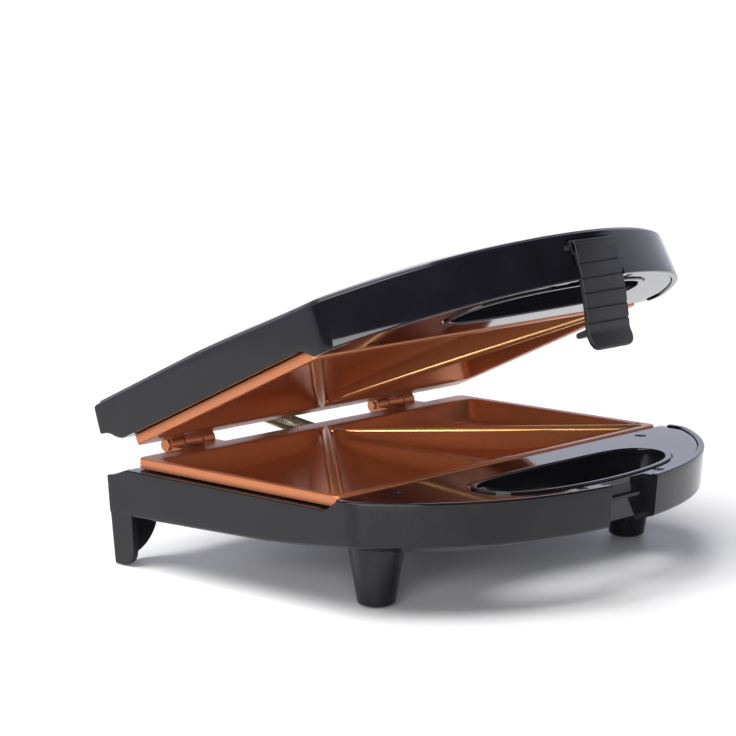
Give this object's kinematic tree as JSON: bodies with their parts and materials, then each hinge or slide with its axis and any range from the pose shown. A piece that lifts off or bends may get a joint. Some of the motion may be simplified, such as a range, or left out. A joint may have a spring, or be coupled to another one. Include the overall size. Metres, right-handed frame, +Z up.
{
  "type": "sandwich toaster",
  "caption": "Countertop sandwich toaster with a hinged lid, facing plates with triangular pockets, finger slots at the front and a hooked latch; the lid stands part open.",
  "frame": {"origin": "centre of the bounding box on the table, lid part open as stored", "axes": "+X to the user's right, +Y to the hinge side at the back, +Z up"},
  "size_m": [0.2362, 0.2174, 0.1549],
  "materials": {
    "housing_black": "glossy black moulding",
    "cover_black": "glossy black moulding",
    "coated_casting": "copper-coloured non-stick coating on die-cast aluminium",
    "dark_steel": "blackened steel",
    "zinc_steel": "zinc plated",
    "element_steel": "heat-darkened steel tube",
    "tray_steel": "bright tinplate",
    "ceramic_white": "white heat-proof body",
    "pad_rubber": "matte",
    "bush_black": "matte",
    "spring_steel": "close-wound wire",
    "lens_red": "clear red",
    "lens_green": "clear green",
    "latch_black": "fine matte"
  },
  "bodies": {
    "base": {"base_shell": "housing_black", "base_cover": "cover_black", "base_cover_screws": "dark_steel", "base_screws": "zinc_steel", "lower_plate": "coated_casting", "lower_element": "element_steel", "lower_element_clips": "zinc_steel", "lower_reflector": "tray_steel", "thermostat": "ceramic_white", "thermal_fuse": "ceramic_white", "front_foot_left": "housing_black", "front_foot_right": "housing_black", "foot_pads": "pad_rubber", "cord_inlet": "bush_black", "conduit_socket": "bush_black", "wire_conduit": "spring_steel", "hinge_pin_left": "zinc_steel", "hinge_pin_right": "zinc_steel"},
    "lid": {"lid_shell": "housing_black", "lid_cover": "cover_black", "lid_cover_screws": "dark_steel", "upper_plate": "coated_casting", "upper_element": "element_steel", "upper_element_clips": "zinc_steel", "upper_reflector": "tray_steel", "pilot_lens_left": "lens_red", "pilot_lens_right": "lens_green", "conduit_ferrule": "bush_black", "latch_pin": "zinc_steel"},
    "latch": {"latch": "latch_black"}
  },
  "joints": [
    {"name": "lid_hinge", "type": "hinge", "parent": "base", "child": "lid", "pos_m": [0, 0.09783, 0.0507], "axis": [-1, 0, 0], "range_deg": [-24.8, 80.2], "deforming": ["wire_conduit"]},
    {"name": "latch_pivot", "type": "hinge", "parent": "lid", "child": "latch", "pos_m": [0, -0.08138, 0.14992], "axis": [-1, 0, 0], "range_deg": [0, 85]}
  ]
}
